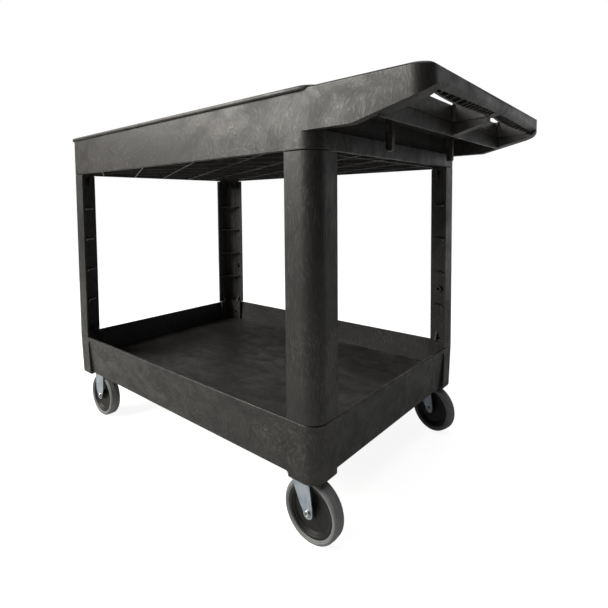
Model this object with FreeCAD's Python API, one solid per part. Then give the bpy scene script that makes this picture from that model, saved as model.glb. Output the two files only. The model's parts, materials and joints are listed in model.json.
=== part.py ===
import FreeCAD, Part
import math
import os
from FreeCAD import Vector as V

os.makedirs("parts", exist_ok=True)

# Rolling utility cart, millimetres, +Z up, origin on the floor under the middle of the whole cart.
# +X is the push-handle end, -Y is one long side.

# --- driving dimensions -------------------------------------------------------------------------
HALF_WIDTH = 323.5       # wall planes of both shelves, measured from the centre line
X_TAIL = -572.0          # wall plane at the plain end
X_BODY = 368.0           # wall plane at the handle end of the shelf bodies
X_GRIP = 577.0           # outermost point of the push handle
CORNER_R = 33.0          # outer corner radius of shelves and posts
RIM_TOP = 846.0          # top of the rolled rim
ARM_TOP = 843.5          # flush top of the handle arms
TOP_WALL_Z = 737.0       # lower edge of the top shelf walls
TOP_DECK_Z = 776.0       # load surface of the top shelf
DECK_T = 4.0             # deck thickness
WALL_T = 6.5             # shelf wall thickness at the rim
LOW_RIM_Z = 243.0        # rim of the bottom shelf
LOW_DECK_Z = 174.0       # load surface of the bottom shelf
PANEL_Z = 133.0          # lower edge of the recessed side panels
BOOT_Z = 128.0           # lower edge of the corner boots
BOOT_W = 70.0            # boot width along each side
POST_FLANGE = 69.0       # L post flange width
POST_T = 5.0             # L post wall
JOINT_GAP = 1.5          # shadow gap between post skin and shelf edge
RIB_ANGLE = 27.5         # diamond rib angle to X
RIB_PITCH_X = 212.0      # rib crossing pitch on the centre line
RIB_T = 3.0
WHEEL_R = 62.5           # caster wheel radius
TREAD_W = 30.0
AXLE_R = 5.0             # axle bolt shank radius
PLATE_TOP = 157.0        # caster overall height
CASTER_INSET = 41.0      # wheel plane to wall plane
X_RIGID = X_TAIL + 90.0  # rigid wheel axle position
X_SWIVEL = X_BODY - 72.0 # swivel kingpin position
TRAIL = 34.0             # kingpin to axle
YAW_NEAR = 0.0           # rest yaw of the swivel caster on the -Y side
YAW_FAR = -15.0          # rest yaw of the swivel caster on the +Y side
FORK_SWEEP_R = 33.0      # reach of the swivel fork inside the corner boot, from its kingpin
FORK_CLEAR_R = 34.2      # round relief in the corner wall that the fork turns in
CROWN_Z = 128.2          # underside of the swivel fork's crown, under the side panels
CROWN_T = 3.8            # crown thickness
LEG_IN = 17.0            # inner face of a caster leg from the wheel plane
LEG_T = 2.5


# --- small helpers ------------------------------------------------------------------------------
def box(x0, x1, y0, y1, z0, z1):
    """Axis-aligned block between two corners."""
    return Part.makeBox(x1 - x0, y1 - y0, z1 - z0, V(x0, y0, z0))


def rounded_wire(x0, x1, y0, y1, r, z):
    """Rounded rectangle wire at height z."""
    k = r * (1 - math.sqrt(0.5))
    pts = [V(x0 + r, y0, z), V(x1 - r, y0, z), V(x1, y0 + r, z), V(x1, y1 - r, z),
           V(x1 - r, y1, z), V(x0 + r, y1, z), V(x0, y1 - r, z), V(x0, y0 + r, z)]
    mid = [V(x1 - k, y0 + k, z), V(x1 - k, y1 - k, z), V(x0 + k, y1 - k, z), V(x0 + k, y0 + k, z)]
    edges = []
    for i in range(4):
        a, b, c = pts[2 * i], pts[2 * i + 1], pts[(2 * i + 2) % 8]
        edges.append(Part.LineSegment(a, b).toShape())
        edges.append(Part.Arc(b, mid[i], c).toShape())
    return Part.Wire(edges)


def shelf_wire(inset, r, z):
    """Shelf outline drawn in by an inset from the wall planes."""
    return rounded_wire(X_TAIL + inset, X_BODY - inset, -HALF_WIDTH + inset, HALF_WIDTH - inset, r, z)


def loft(lower, upper):
    """Straight-sided solid between two outlines."""
    return Part.makeLoft([lower, upper], True, True)


def shelf_block(inset0, r0, z0, inset1, r1, z1):
    """Drafted block of the shelf outline."""
    return loft(shelf_wire(inset0, r0, z0), shelf_wire(inset1, r1, z1))


def prism(points, direction):
    """Polygon of 3-D points pushed along a direction."""
    wire = Part.makePolygon(points + [points[0]])
    return Part.Face(wire).extrude(direction)


def prism_xz(pts, y0, y1):
    """Polygon in the XZ plane pushed from y0 to y1."""
    return prism([V(x, y0, z) for x, z in pts], V(0, y1 - y0, 0))


def prism_yz(pts, x0, x1):
    """Polygon in the YZ plane pushed from x0 to x1."""
    return prism([V(x0, y, z) for y, z in pts], V(x1 - x0, 0, 0))


def fuse_all(shapes):
    """One solid from touching pieces."""
    out = shapes[0].multiFuse(shapes[1:]) if len(shapes) > 1 else shapes[0]
    return out.removeSplitter()


def cyl(x, y, z, r, h, axis=V(0, 0, 1)):
    """Cylinder from a base centre along an axis."""
    return Part.makeCylinder(r, h, V(x, y, z), axis)


def corners():
    """Sign pairs and names of the four post corners."""
    return [(-1, -1, "tail_near"), (-1, 1, "tail_far"), (1, -1, "handle_near"), (1, 1, "handle_far")]


def to_corner(shape, sx, sy):
    """Move a shape drawn at the tail-near corner (corner at 0,0, flanges +X +Y) to a cart corner."""
    s = shape.copy()
    if sx > 0:
        s = s.mirror(V(0, 0, 0), V(1, 0, 0))
    if sy > 0:
        s = s.mirror(V(0, 0, 0), V(0, 1, 0))
    s.translate(V(X_BODY if sx > 0 else X_TAIL, sy * HALF_WIDTH, 0))
    return s


def l_section(inset, thick, length, r_out, z0, z1):
    """L-shaped angle with a rounded corner, corner of the wall planes at the origin."""
    a, b = inset, inset + thick
    ro = max(r_out - inset, 3.0)
    ri = max(ro - thick, 2.0)
    ko = ro * (1 - math.sqrt(0.5))
    ki = ri * (1 - math.sqrt(0.5))
    p = [V(length, a, z0), V(a + ro, a, z0), V(a + ko, a + ko, z0), V(a, a + ro, z0), V(a, length, z0)]
    q = [V(b, length, z0), V(b, b + ri, z0), V(b + ki, b + ki, z0), V(b + ri, b, z0), V(length, b, z0)]
    edges = [Part.LineSegment(p[0], p[1]).toShape(), Part.Arc(p[1], p[2], p[3]).toShape(),
             Part.LineSegment(p[3], p[4]).toShape(), Part.LineSegment(p[4], q[0]).toShape(),
             Part.LineSegment(q[0], q[1]).toShape(), Part.Arc(q[1], q[2], q[3]).toShape(),
             Part.LineSegment(q[3], q[4]).toShape(), Part.LineSegment(q[4], p[0]).toShape()]
    return Part.Face(Part.Wire(edges)).extrude(V(0, 0, z1 - z0))


def save(shape, name):
    """Write one node."""
    shape.exportStep("parts/" + name + ".step")


# --- shared joint geometry ----------------------------------------------------------------------
TONGUE_IN = 8.5
TONGUE_T = 6.0
TONGUE_LEN = 62.0
SCREW_OFF = 44.0


def tongue(z0, z1, grow=0.0):
    """Post tongue (or its socket slot when grown) at the origin corner."""
    return l_section(TONGUE_IN - grow, TONGUE_T + 2 * grow, TONGUE_LEN + grow, CORNER_R, z0, z1)


def screw_axes(z):
    """Base points and inward-to-outward directions of the two screws of one post end."""
    face = TONGUE_IN + TONGUE_T + 0.3 + 5.0
    return [(V(SCREW_OFF, face, z), V(0, -1, 0)), (V(face, SCREW_OFF, z), V(-1, 0, 0))]


def screw_holes(z, r):
    """Clearance holes for the screws of one post end."""
    return [Part.makeCylinder(r, 12.2, p, d) for p, d in screw_axes(z)]


def rib_lattice(z0, z1, x_first):
    """Diamond lattice of thin ribs, not yet trimmed."""
    ribs = []
    for k in range(-4, 9):
        for sign in (-1, 1):
            rib = box(-900, 900, -RIB_T / 2, RIB_T / 2, z0, z1)
            rib.rotate(V(0, 0, 0), V(0, 0, 1), sign * RIB_ANGLE)
            rib.translate(V(x_first + k * RIB_PITCH_X, 0, 0))
            ribs.append(rib)
    return ribs


# --- bottom shelf -------------------------------------------------------------------------------
def panel_recess():
    """Outside of the drafted side panels between the boots, as four cutters."""
    zt = LOW_RIM_Z - 9.0
    cutters = []
    for s in (-1, 1):
        wedge = prism_yz([(s * (HALF_WIDTH + 20), 100), (s * (HALF_WIDTH - 13.0), 100),
                          (s * (HALF_WIDTH - 12.8), PANEL_Z), (s * (HALF_WIDTH - 3.2), zt - 5),
                          (s * (HALF_WIDTH - 2.0), zt - 1.2), (s * (HALF_WIDTH + 0.2), zt),
                          (s * (HALF_WIDTH + 20), zt)], X_TAIL, X_BODY)
        window = rounded_window_xz(X_TAIL + BOOT_W, X_BODY - BOOT_W, zt)
        cutters.append(wedge.common(window))
    for x, s in ((X_TAIL, -1), (X_BODY, 1)):
        wedge = prism_xz([(x + s * 20, 100), (x - s * 13.0, 100), (x - s * 12.8, PANEL_Z),
                          (x - s * 3.2, zt - 5), (x - s * 2.0, zt - 1.2), (x + s * 0.2, zt), (x + s * 20, zt)],
                         -HALF_WIDTH, HALF_WIDTH)
        window = rounded_window_yz(-HALF_WIDTH + BOOT_W, HALF_WIDTH - BOOT_W, zt)
        cutters.append(wedge.common(window))
    return cutters


def rounded_window_xz(x0, x1, zt):
    """Tall window seen along Y with rounded top corners."""
    w = box(x0, x1, -HALF_WIDTH - 30, HALF_WIDTH + 30, 90, zt)
    edges = [e for e in w.Edges if abs(e.BoundBox.ZMin - zt) < 0.1 and e.BoundBox.XLength < 0.1]
    return w.makeFillet(14.0, edges)


def rounded_window_yz(y0, y1, zt):
    """Tall window seen along X with rounded top corners."""
    w = box(X_TAIL - 30, X_BODY + 30, y0, y1, 90, zt)
    edges = [e for e in w.Edges if abs(e.BoundBox.ZMin - zt) < 0.1 and e.BoundBox.YLength < 0.1]
    return w.makeFillet(14.0, edges)


def caster_spots():
    """Kingpin or bracket centre of each caster: x, y, half plate length."""
    y = HALF_WIDTH - CASTER_INSET
    return [(X_RIGID, -y), (X_RIGID, y), (X_SWIVEL, -y), (X_SWIVEL, y)]


def plate_holes(x, y):
    """The four plate hole centres of one caster."""
    return [(x + sx * 33.0, y + sy * 17.0) for sx in (-1, 1) for sy in (-1, 1)]


def socket_block(z0, z1):
    """Corner socket walls around a post tongue, at the origin corner."""
    return l_section(2.5, TONGUE_IN + TONGUE_T + 0.3 + 5.0 - 2.5, 70.0, CORNER_R, z0, z1)


def bottom_shelf():
    """Open tray with drafted recessed panels, corner boots, post sockets and caster pads."""
    body = shelf_block(4.2, 30.0, BOOT_Z, 0.0, CORNER_R, LOW_RIM_Z)
    rim = [e for e in body.Edges if e.BoundBox.ZMin > LOW_RIM_Z - 0.1]
    body = body.makeFillet(2.0, rim)
    foot = [e for e in body.Edges if e.BoundBox.ZMax < BOOT_Z + 0.1]
    body = body.makeFillet(5.0, foot)
    for cutter in panel_recess():
        body = body.cut(cutter)
    between = [box(X_TAIL + BOOT_W, X_BODY - BOOT_W, -400, 400, 100, PANEL_Z),
               box(-700, 500, -HALF_WIDTH + BOOT_W, HALF_WIDTH - BOOT_W, 100, PANEL_Z)]
    for b in between:
        body = body.cut(b)
    tray = shelf_block(14.0, 20.0, LOW_DECK_Z, WALL_T, CORNER_R - WALL_T, LOW_RIM_Z + 0.01)
    below = shelf_block(17.4, 17.0, 100.0, 14.2, 20.0, LOW_DECK_Z - DECK_T)
    body = body.cut(tray)
    blocks = [to_corner(socket_block(LOW_DECK_Z - 1, LOW_RIM_Z - 1.0), sx, sy) for sx, sy, n in corners()]
    body = body.cut(below)
    ribs = fuse_all(rib_lattice(144.0, LOW_DECK_Z - 3.0, X_TAIL - 2.0 + 106.0))
    ribs = ribs.common(shelf_block(16.0, 17.0, 143.0, 15.0, 18.0, LOW_DECK_Z - 3.0))
    for x, y in caster_spots():
        s = 1 if y > 0 else -1
        ribs = ribs.cut(box(x - 62, x + 62, min(y - s * 55, s * 340), max(y - s * 55, s * 340), 100, 180))
    pads = []
    for x, y in caster_spots():
        s = 1 if y > 0 else -1
        ya, yb = sorted((y - s * 27, s * (HALF_WIDTH - 10)))
        pads.append(box(x - 43, x + 43, ya, yb, PLATE_TOP, LOW_DECK_Z - 3))
    body = fuse_all([body, ribs] + pads + blocks)
    for sx, sy, n in corners():
        body = body.cut(to_corner(tongue(LOW_DECK_Z + 3, LOW_RIM_Z + 5, 0.3), sx, sy))
        for h in screw_holes(205.0, 2.7):
            body = body.cut(to_corner(h, sx, sy))
    for x, y in caster_spots():
        for hx, hy in plate_holes(x, y):
            body = body.cut(cyl(hx, hy, 150.0, 4.2, 21.0))
    for x, y in caster_spots():
        if x == X_SWIVEL:
            body = body.cut(cyl(x, y, 100.0, FORK_CLEAR_R, PANEL_Z - 100.0))
    return body


# --- posts --------------------------------------------------------------------------------------
def post():
    """L post at the origin corner: skin, stiffening gussets, cable boss and tongues."""
    z0, z1 = LOW_RIM_Z + JOINT_GAP, TOP_WALL_Z - JOINT_GAP
    parts = [l_section(0.0, POST_T, POST_FLANGE, CORNER_R, z0, z1)]
    for z in (347.0, 442.0, 537.0, 631.0):
        parts.append(prism([V(3, 3, z), V(58, 3, z), V(58, 12, z), V(30, 30, z), V(12, 58, z), V(3, 58, z)],
                           V(0, 0, 3.5)))
    for za, zb in ((z0, z0 + 26.0), (z1, z1 - 34.0)):
        for off in (20.0, 48.0):
            parts.append(prism([V(off, 4.5, za), V(off, 20, za), V(off, 4.5, zb)], V(3.5, 0, 0)))
            parts.append(prism([V(4.5, off, za), V(20, off, za), V(4.5, off, zb)], V(0, 3.5, 0)))
    parts.append(l_section(2.0, 13.0, POST_FLANGE - 5, CORNER_R, z0, z0 + 4.0))
    parts.append(l_section(2.0, 13.0, POST_FLANGE - 5, CORNER_R, z1 - 4.0, z1))
    parts.append(tongue(LOW_DECK_Z + 4.0, z0 + 3.0))
    parts.append(tongue(z1 - 3.0, TOP_DECK_Z - DECK_T - 4.0))
    parts.append(cyl(44.0, 4.0, 394.0, 9.0, 8.0, V(0, 1, 0)))
    body = fuse_all(parts)
    body = body.cut(cyl(44.0, 2.5, 394.0, 4.0, 20.0, V(0, 1, 0)))
    body = body.cut(box(12, 22, 30, 40, 536.0, 542.0))
    keep = l_section(0.0, 60.0, POST_FLANGE, CORNER_R, 100, 900)
    body = body.common(keep)
    for z in (205.0, 752.0):
        for h in screw_holes(z, 2.7):
            body = body.cut(h)
    return body


def post_screws(z):
    """Pan-head screws of all four posts at one level."""
    screws = []
    for sx, sy, n in corners():
        for p, d in screw_axes(z):
            head = Part.makeCylinder(5.5, 3.0, p - d * 3.0, d)
            rim = [e for e in head.Edges if e.BoundBox.Center.distanceToPoint(p - d * 3.0) < 0.2]
            head = head.makeFillet(1.4, rim)
            slot = Part.makeBox(1.4, 1.4, 7.0)
            slot.translate(V(-0.7, -0.7, -3.5))
            a = slot.copy()
            b = slot.copy()
            b.rotate(V(0, 0, 0), V(d.y, -d.x, 0) if abs(d.x) + abs(d.y) > 0 else V(1, 0, 0), 90)
            for c in (a, b):
                c.translate(p - d * 3.0)
                head = head.cut(c)
            screws.append(to_corner(head.fuse(Part.makeCylinder(2.5, 11.0, p, d)), sx, sy))
    return Part.makeCompound(screws)


# --- top shelf ----------------------------------------------------------------------------------
def rolled_rim():
    """Bead around the tray rim, stopping where the handle arms begin."""
    outer = shelf_block(-5.0, CORNER_R + 5.0, RIM_TOP - 9.0, -5.0, CORNER_R + 5.0, RIM_TOP)
    edges = [e for e in outer.Edges if e.BoundBox.ZLength < 0.1]
    outer = outer.makeFillet(3.8, edges)
    inner = shelf_block(WALL_T, CORNER_R - WALL_T, RIM_TOP - 30, WALL_T, CORNER_R - WALL_T, RIM_TOP + 5)
    plan = [(-700, -400), (X_BODY - 26.0, -400), (X_BODY - 26.0, -HALF_WIDTH - 5.0)]
    plan += [(X_BODY - 26.0 + 20.0 * math.sin(t * math.pi / 12), -HALF_WIDTH + 1.0 - 6.0 * math.cos(t * math.pi / 12))
             for t in range(1, 7)]
    plan += [(x, -y) for x, y in reversed(plan)]
    trim = prism([V(x, y, 700) for x, y in plan], V(0, 0, 200))
    bead = outer.common(trim).cut(inner)
    return bead


def handle_outline(z0, z1):
    """Plan of the push handle with rounded corners and a slightly bowed grip."""
    w, r, xe = HALF_WIDTH, GRIP_CORNER_R, X_GRIP - 5.0
    k = r * (1 - math.sqrt(0.5))
    x0 = X_BODY - 40.0
    edges = [Part.LineSegment(V(x0, -w, z0), V(xe - r, -w, z0)).toShape(),
             Part.Arc(V(xe - r, -w, z0), V(xe - k, -w + k, z0), V(xe, -w + r, z0)).toShape(),
             Part.Arc(V(xe, -w + r, z0), V(X_GRIP, 0, z0), V(xe, w - r, z0)).toShape(),
             Part.Arc(V(xe, w - r, z0), V(xe - k, w - k, z0), V(xe - r, w, z0)).toShape(),
             Part.LineSegment(V(xe - r, w, z0), V(x0, w, z0)).toShape(),
             Part.LineSegment(V(x0, w, z0), V(x0, -w, z0)).toShape()]
    return Part.Face(Part.Wire(edges)).extrude(V(0, 0, z1 - z0))


ARM_T = 18.0
ARM_INNER = 36.0
GRIP_CORNER_R = 28.0
NOSE_R = 15.0
HAND_WALL_X = 483.0
OPEN_X0 = 487.0
OPEN_Y0 = 14.0
GRIP_IN_END = 554.0
GRIP_IN_MID = 547.0
CELL_WIDE = 26.0
CELL_NARROW = 17.0
CELL_RIB = 2.8


def handle_profile():
    """Side view of the handle: level underside, slope, then the rounded nose of the grip."""
    back, top, turn_z = X_BODY - 40, ARM_TOP, ARM_TOP - NOSE_R
    k = NOSE_R * (1 - math.sqrt(0.5))
    corners_xz = [(553.0, 798.2), (545.0, 795.4), (440.6, 769.0), (back, 769.0), (back, top),
                  (X_GRIP - NOSE_R, top)]
    edges = [Part.Arc(V(X_GRIP - NOSE_R, 0, top), V(X_GRIP - k, 0, top - k), V(X_GRIP, 0, turn_z)).toShape(),
             Part.Arc(V(X_GRIP, 0, turn_z), V(570.6, 0, 809.6), V(553.0, 0, 798.2)).toShape()]
    for (xa, za), (xb, zb) in zip(corners_xz, corners_xz[1:]):
        edges.append(Part.LineSegment(V(xa, 0, za), V(xb, 0, zb)).toShape())
    side = Part.Face(Part.Wire(edges))
    side.translate(V(0, -HALF_WIDTH - 10, 0))
    return side.extrude(V(0, 2 * HALF_WIDTH + 20, 0))


def grip_underside():
    """Everything below the raised underside of the grip between the arms."""
    pts = [(HAND_WALL_X + 2, 700.0), (600.0, 700.0), (600.0, 829.0), (X_GRIP, 826.0), (575.0, 819.5),
           (571.0, 814.5), (565.0, 811.5), (558.0, 809.5), (540.0, 806.0), (HAND_WALL_X + 2, 806.0)]
    y = HALF_WIDTH - ARM_INNER
    return prism_xz(pts, -y, y)


def opening_ends(s):
    """Inner and outer Y of one hand opening."""
    return sorted((s * OPEN_Y0, s * (HALF_WIDTH - ARM_INNER - 2.0)))


def grip_inner(y):
    """X of the grip's inner face, with a palm swell in the middle of each opening."""
    mid = (OPEN_Y0 + HALF_WIDTH - ARM_INNER - 2.0) / 2
    half = mid - OPEN_Y0
    t = min(abs(abs(y) - mid) / half, 1.0)
    return GRIP_IN_MID + (GRIP_IN_END - GRIP_IN_MID) * t * t


def hand_opening(s):
    """Through opening for one hand, with the palm swell on the grip side."""
    y0, y1 = opening_ends(s)
    ym = (y0 + y1) / 2
    z0 = 740.0
    edges = [Part.LineSegment(V(OPEN_X0, y0, z0), V(GRIP_IN_END, y0, z0)).toShape(),
             Part.Arc(V(GRIP_IN_END, y0, z0), V(GRIP_IN_MID, ym, z0), V(GRIP_IN_END, y1, z0)).toShape(),
             Part.LineSegment(V(GRIP_IN_END, y1, z0), V(OPEN_X0, y1, z0)).toShape(),
             Part.LineSegment(V(OPEN_X0, y1, z0), V(OPEN_X0, y0, z0)).toShape()]
    cutter = Part.Face(Part.Wire(edges)).extrude(V(0, 0, 160))
    ends = [e for e in cutter.Edges if e.BoundBox.ZLength > 100]
    return cutter.makeFillet(7.0, ends)


def cell_edges():
    """Y of the rib centres between comb cells on one side: wide cells at the arm, narrow ones inward."""
    edges = [HALF_WIDTH - ARM_INNER - 8.0]
    for step in [CELL_WIDE] * 5 + [CELL_NARROW] * 8:
        edges.append(edges[-1] - step)
    return edges


def grip_pockets():
    """Comb of cells opening downward inside the grip bar."""
    cells = []
    edges = cell_edges()
    for outer, inner_y in zip(edges, edges[1:]):
        bow = 5.0 * (1 - (outer / 275.5) ** 2)
        wall = max(grip_inner(outer), grip_inner(inner_y)) + 3.0
        for s in (-1, 1):
            y0, y1 = sorted((s * (outer - CELL_RIB / 2), s * (inner_y + CELL_RIB / 2)))
            cells.append(box(wall, 562.5 + bow, y0, y1, 780.0, 834.0))
    return cells


def hook(y):
    """I-section peg that hangs under the handle for small things on straps or cords."""
    outline = [(409.0, 814), (426.0, 814), (425.0, 777), (424.5, 744), (422.5, 741.5), (413.0, 741.5), (411.0, 744),
               (409.5, 774)]
    peg = prism_xz(outline, y - 5.0, y + 5.0)
    pocket = [(412.5, 772), (422.0, 772), (421.5, 745.5), (413.5, 745.5)]
    for s in (-1, 1):
        peg = peg.cut(prism_xz(pocket, *sorted((y + s * 2.0, y + s * 6.0))))
    return peg


def handle():
    """Push handle: arms, grip bar, hand wall, centre web, bins and hooks."""
    block = handle_outline(760.0, ARM_TOP)
    rim = [e for e in block.Edges if e.BoundBox.ZMin > ARM_TOP - 0.1 and e.BoundBox.XMax > X_BODY]
    block = block.makeFillet(5.0, rim)
    body = block.common(handle_profile())
    yi = HALF_WIDTH - ARM_T
    ya = HALF_WIDTH - ARM_INNER
    void = prism_xz([(X_BODY - 50, 700), (HAND_WALL_X - 2, 700), (HAND_WALL_X - 2, 812.0), (X_BODY - 50, 812.0)],
                    -yi, yi)
    body = body.cut(void)
    body = body.cut(grip_underside())
    for s in (-1, 1):
        body = body.cut(hand_opening(s))
    for cell in grip_pockets():
        body = body.cut(cell)
    lean = prism_xz([(HAND_WALL_X + 2, 816.0), (HAND_WALL_X + 4.2, 816.0), (HAND_WALL_X + 4.2, 850),
                     (HAND_WALL_X - 7, 850), (HAND_WALL_X - 6, 841.0)], -ya, ya)
    body = body.cut(lean)
    wall = prism_xz([(HAND_WALL_X - 2, 777.0), (HAND_WALL_X + 2, 777.0), (HAND_WALL_X + 2, 816.0),
                     (HAND_WALL_X - 6, 841.0), (HAND_WALL_X - 10, 841.0), (HAND_WALL_X - 2, 816.0)],
                    -yi - 1, yi + 1)
    web = prism_xz([(HAND_WALL_X, 777.5), (551.0, 798.0), (551.0, ARM_TOP - 3), (HAND_WALL_X - 6, ARM_TOP - 3)],
                   -12.0, 12.0)
    body = fuse_all([body, wall, web])
    for ya0, yb0 in ((-yi + 4, -112), (-106, 106), (112, yi - 4)):
        b = box(X_BODY + 8, HAND_WALL_X - 16, ya0, yb0, 815.0, 860)
        vert = [e for e in b.Edges if e.BoundBox.ZLength > 40]
        body = body.cut(b.makeFillet(8.0, vert))
    for hand in (-1, 1):
        body = body.fuse(hook(hand * 149.5))
    return body.removeSplitter()


def top_shelf():
    """Top tray with rolled rim, diamond ribs, post sockets and the moulded-in push handle."""
    body = shelf_block(0.0, CORNER_R, TOP_WALL_Z, 0.0, CORNER_R, RIM_TOP)
    lower = [e for e in body.Edges if e.BoundBox.ZMax < TOP_WALL_Z + 0.1]
    body = body.makeFillet(1.6, lower)
    cap = box(X_BODY - 8.0, X_BODY + 40, -400, 400, ARM_TOP, 900)
    body = body.cut(cap)
    tray = shelf_block(10.0, 23.0, TOP_DECK_Z, WALL_T, CORNER_R - WALL_T, RIM_TOP + 0.1)
    under = shelf_block(6.5, 26.5, TOP_WALL_Z - 1, 7.5, 25.5, TOP_DECK_Z - DECK_T)
    recess = prism_xz([(X_BODY + 1, 769.5), (X_BODY - 0.8, 771.0), (X_BODY - 2.6, 774.5), (X_BODY - 3.4, 779.0),
                       (X_BODY - 4.0, 784.0), (X_BODY - 4.0, 812.5), (X_BODY + 1, 812.5)], -HALF_WIDTH + ARM_T, HALF_WIDTH - ARM_T)
    ribs = fuse_all(rib_lattice(TOP_WALL_Z + 0.6, TOP_DECK_Z - 3.0, X_TAIL - 2.0))
    ribs = ribs.fuse(box(319.0, 322.0, -HALF_WIDTH, HALF_WIDTH, TOP_WALL_Z + 0.6, TOP_DECK_Z - 3.0))
    ribs = ribs.common(shelf_block(4.0, 29.0, TOP_WALL_Z, 4.0, 29.0, TOP_DECK_Z - 3.0))
    body = body.cut(under)
    body = fuse_all([body, rolled_rim(), ribs, handle().cut(tray)])
    body = body.cut(tray)
    body = body.cut(recess)
    blocks = [to_corner(socket_block(TOP_WALL_Z, TOP_DECK_Z - 2.0), sx, sy) for sx, sy, n in corners()]
    body = fuse_all([body] + blocks)
    for sx, sy, n in corners():
        body = body.cut(to_corner(tongue(TOP_WALL_Z - 5, TOP_DECK_Z - DECK_T - 3.0, 0.3), sx, sy))
        for h in screw_holes(752.0, 2.7):
            body = body.cut(to_corner(h, sx, sy))
        for p, d in screw_axes(752.0):
            body = body.cut(to_corner(Part.makeCylinder(9.0, 22.0, p - d * 22.0, d), sx, sy))
    return body


# --- casters ------------------------------------------------------------------------------------
def plate(x, y):
    """Caster mounting plate with four slotted holes."""
    p = box(x - 42, x + 42, y - 26, y + 26, PLATE_TOP - 3.0, PLATE_TOP)
    vert = [e for e in p.Edges if e.BoundBox.ZLength > 2]
    p = p.makeFillet(5.0, vert)
    for hx, hy in plate_holes(x, y):
        p = p.cut(cyl(hx, hy, PLATE_TOP - 5, 4.2, 10))
    return p


def leg(points, wing, y_in, sign):
    """One caster leg with a rounded axle end and a slightly set-in rear wing."""
    y0, y1 = sorted((sign * y_in, sign * (y_in + LEG_T)))
    flat = prism_xz(points, y0, y1)
    eye = cyl(0, y0, WHEEL_R, 11.0, LEG_T, V(0, 1, 0))
    body = flat.fuse(eye)
    if wing:
        w = prism_xz(wing, y0 - sign * 1.2, y1 - sign * 1.2)
        body = body.fuse(w)
    return body


def rigid_bracket(x, y):
    """Pressed plate with two straight legs for a caster that does not steer."""
    parts = [box(-42, 42, -26, 26, PLATE_TOP - 3.0, PLATE_TOP)]
    parts[0] = parts[0].makeFillet(5.0, [e for e in parts[0].Edges if e.BoundBox.ZLength > 2])
    pts = [(-24.5, PLATE_TOP - 1.5), (24.5, PLATE_TOP - 1.5), (22, 122), (20.5, 84), (9.6, 57.2), (-9.6, 57.2),
           (-21, 80), (-23, 122)]
    for s in (-1, 1):
        parts.append(leg(pts, None, LEG_IN, s))
        rib = prism_xz([(-14, 150), (14, 150), (11, 96), (-11, 96)], *sorted((s * (LEG_IN + 1), s * (LEG_IN + 4.0))))
        edges = [e for e in rib.Edges if e.BoundBox.YLength < 0.1 and abs(e.BoundBox.YMin) > LEG_IN + 3.5]
        parts.append(rib.makeChamfer(1.2, edges))
    body = fuse_all(parts)
    body = body.cut(cyl(0, -40, WHEEL_R, AXLE_R + 0.1, 80, V(0, 1, 0)))
    for hx, hy in plate_holes(0, 0):
        body = body.cut(cyl(hx, hy, PLATE_TOP - 5, 4.2, 10))
    body.translate(V(x, y, 0))
    return body


RACE_R = 23.0
FORK_TOP = 145.5


def swivel_plate(x, y):
    """Mounting plate with the fixed upper race cup and the kingpin hole."""
    p = plate(0, 0)
    cup = Part.makeCone(20.0, 25.0, 4.5, V(0, 0, PLATE_TOP - 7.5))
    p = fuse_all([p, cup])
    p = p.cut(cyl(0, 0, 140, 6.2, 30))
    groove = Part.makeTorus(17.0, 2.9, V(0, 0, PLATE_TOP - 8.6))
    p = p.cut(groove)
    p.translate(V(x, y, 0))
    return p


def race_balls(x, y):
    """Ring of bearing balls under the fixed race."""
    balls = []
    for i in range(16):
        a = 2 * math.pi * i / 16
        balls.append(Part.makeSphere(2.4, V(x + 17.0 * math.cos(a), y + 17.0 * math.sin(a), PLATE_TOP - 8.4)))
    return Part.makeCompound(balls)


def kingpin(x, y):
    """Headed kingpin through plate and fork crown with a riveted lower end."""
    foot = CROWN_Z - 5.2
    pin = cyl(0, 0, foot + 3.4, 6.0, PLATE_TOP - 4.0 - foot)
    head = cyl(0, 0, PLATE_TOP - 3.4, 6.15, 3.0)
    washer = cyl(0, 0, foot, 10.0, 3.4)
    low = [e for e in washer.Edges if e.BoundBox.ZMax < foot + 0.1]
    body = fuse_all([pin, head, washer.makeFillet(2.0, low)])
    body.translate(V(x, y, 0))
    return body


def place_swivel(shape, x, y, yaw):
    """Turn a shape drawn about its kingpin and move it to its corner."""
    shape.rotate(V(0, 0, 0), V(0, 0, 1), yaw)
    shape.translate(V(x, y, 0))
    return shape


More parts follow.
